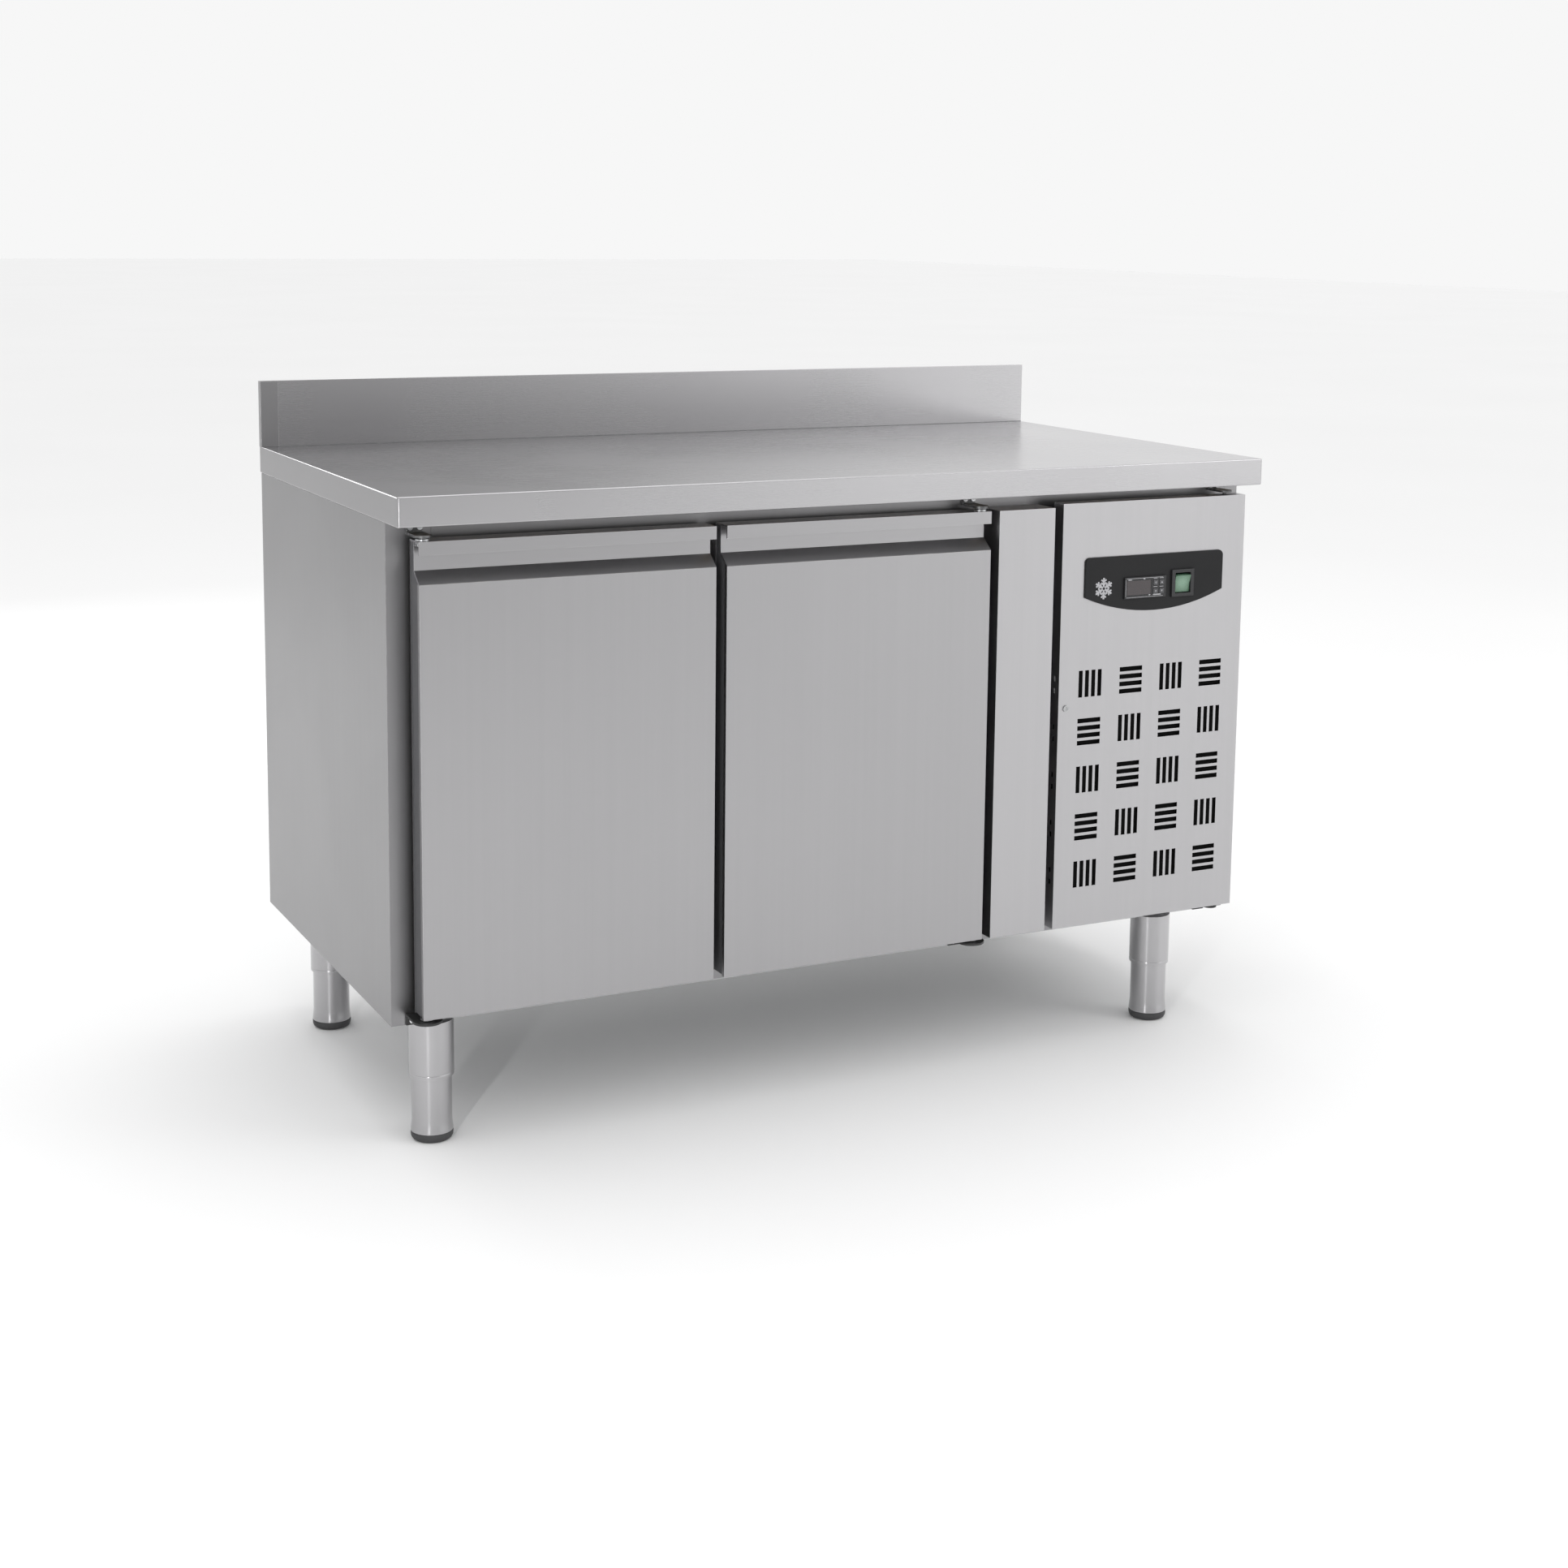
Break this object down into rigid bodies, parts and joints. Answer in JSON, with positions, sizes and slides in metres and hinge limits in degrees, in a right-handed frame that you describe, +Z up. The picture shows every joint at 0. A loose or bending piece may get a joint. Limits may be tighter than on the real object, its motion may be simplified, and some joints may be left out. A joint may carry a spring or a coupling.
{
  "type": "undercounter refrigerator",
  "caption": "Stainless refrigerated counter on legs, with rear upstand, hinged doors with recessed handles, wire shelves and a machine compartment behind a hinged, slotted control panel.",
  "frame": {"origin": "on the floor, midway between the worktop's left and right sides and midway between its front and its back", "axes": "+X to the right of a person facing the doors, +Y to the back, +Z up"},
  "size_m": [1.36, 0.7, 0.986],
  "materials": {
    "stainless_steel": "fine horizontal and vertical brushing, satin",
    "galvanised_steel": "dull zinc-coated sheet",
    "zinc_steel": "bright zinc plating",
    "shelf_wire": "polished stainless wire",
    "bare_aluminium": "bare mill finish",
    "copper": "bare copper tube",
    "black_paint": "black enamel, slightly rough",
    "black_plastic": "fine texture, matt",
    "grey_plastic": "dark grey moulded plastic, matt",
    "insulating_foam": "rigid polyurethane foam",
    "particle_board": "bare particle board",
    "seal_rubber": "soft seal, matt",
    "display_window": "dark tinted window, glossy",
    "green_plastic": "translucent green, lit from behind"
  },
  "bodies": {
    "cabinet": {"worktop": "stainless_steel", "worktop_core": "particle_board", "side_panel_left": "stainless_steel", "side_panel_right": "stainless_steel", "back_panel": "stainless_steel", "base_panel": "galvanised_steel", "front_frame": "stainless_steel", "center_mullion": "stainless_steel", "insulation": "insulating_foam", "inner_liner": "stainless_steel", "machine_partition": "galvanised_steel", "rear_grille": "stainless_steel", "shelf_uprights": "galvanised_steel", "shelf_runners": "stainless_steel", "shelf_left": "shelf_wire", "shelf_right": "shelf_wire", "evaporator": "bare_aluminium", "evaporator_cover": "stainless_steel", "drip_tray": "bare_aluminium", "fan_motors": "galvanised_steel", "compressor": "black_paint", "condenser": "galvanised_steel", "refrigerant_pipes": "copper", "condensate_tray": "black_plastic", "electrical_box": "grey_plastic", "cable_gland": "black_plastic", "blank_panel": "stainless_steel", "hinge_brackets_upper": "zinc_steel", "hinge_brackets_lower": "black_paint", "bracket_screws": "zinc_steel", "leg_sleeves": "stainless_steel"},
    "door_left": {"door_left_skin": "stainless_steel", "door_left_handle": "stainless_steel", "door_left_inner": "grey_plastic", "door_left_foam": "insulating_foam", "door_left_gasket": "seal_rubber", "door_left_bushes": "grey_plastic"},
    "door_right": {"door_right_skin": "stainless_steel", "door_right_handle": "stainless_steel", "door_right_inner": "grey_plastic", "door_right_foam": "insulating_foam", "door_right_gasket": "seal_rubber", "door_right_bushes": "grey_plastic"},
    "service_door": {"service_panel": "stainless_steel", "control_fascia": "black_plastic", "panel_screw": "zinc_steel", "thermostat": "black_plastic", "thermostat_lens": "display_window", "rocker_bezel": "black_plastic"},
    "rocker": {"rocker": "green_plastic"},
    "key_set": {"key_set": "grey_plastic"},
    "key_up": {"key_up": "grey_plastic"},
    "key_down": {"key_down": "grey_plastic"},
    "key_defrost": {"key_defrost": "grey_plastic"},
    "evaporator_fan": {"evaporator_fan": "black_plastic"},
    "condenser_fan": {"condenser_fan": "black_plastic"},
    "foot_front_left": {"foot_front_left": "stainless_steel"},
    "foot_front_right": {"foot_front_right": "stainless_steel"},
    "foot_rear_left": {"foot_rear_left": "stainless_steel"},
    "foot_rear_right": {"foot_rear_right": "stainless_steel"}
  },
  "joints": [
    {"name": "door_left_hinge", "type": "hinge", "parent": "cabinet", "child": "door_left", "pos_m": [-0.64, -0.325, 0.5075], "axis": [0, 0, -1], "range_deg": [0, 100]},
    {"name": "door_right_hinge", "type": "hinge", "parent": "cabinet", "child": "door_right", "pos_m": [0.196, -0.325, 0.5075], "axis": [0, 0, 1], "range_deg": [0, 100]},
    {"name": "service_panel_hinge", "type": "hinge", "parent": "cabinet", "child": "service_door", "pos_m": [0.632, -0.322, 0.51], "axis": [0, 0, 1], "range_deg": [0, 100]},
    {"name": "rocker_tilt", "type": "hinge", "parent": "service_door", "child": "rocker", "pos_m": [0.542, -0.337, 0.703], "axis": [1, 0, 0], "range_deg": [-20, 0]},
    {"name": "key_set_press", "type": "slide", "parent": "service_door", "child": "key_set", "axis": [0, 1, 0], "range_m": [0, 0.0008], "stiffness_N_per_m": 700, "springref_m": -0.0005},
    {"name": "key_up_press", "type": "slide", "parent": "service_door", "child": "key_up", "axis": [0, 1, 0], "range_m": [0, 0.0008], "stiffness_N_per_m": 700, "springref_m": -0.0005},
    {"name": "key_down_press", "type": "slide", "parent": "service_door", "child": "key_down", "axis": [0, 1, 0], "range_m": [0, 0.0008], "stiffness_N_per_m": 700, "springref_m": -0.0005},
    {"name": "key_defrost_press", "type": "slide", "parent": "service_door", "child": "key_defrost", "axis": [0, 1, 0], "range_m": [0, 0.0008], "stiffness_N_per_m": 700, "springref_m": -0.0005},
    {"name": "evaporator_fan_spin", "type": "hinge", "parent": "cabinet", "child": "evaporator_fan", "pos_m": [0.204, 0.02, 0.65], "axis": [1, 0, 0], "continuous": true},
    {"name": "condenser_fan_spin", "type": "hinge", "parent": "cabinet", "child": "condenser_fan", "pos_m": [0.51, -0.16, 0.3495], "axis": [0, 1, 0], "continuous": true},
    {"name": "foot_front_left_height", "type": "slide", "parent": "cabinet", "child": "foot_front_left", "axis": [0, 0, 1], "range_m": [-0.03, 0]},
    {"name": "foot_front_right_height", "type": "slide", "parent": "cabinet", "child": "foot_front_right", "axis": [0, 0, 1], "range_m": [-0.03, 0]},
    {"name": "foot_rear_left_height", "type": "slide", "parent": "cabinet", "child": "foot_rear_left", "axis": [0, 0, 1], "range_m": [-0.03, 0]},
    {"name": "foot_rear_right_height", "type": "slide", "parent": "cabinet", "child": "foot_rear_right", "axis": [0, 0, 1], "range_m": [-0.03, 0]}
  ]
}
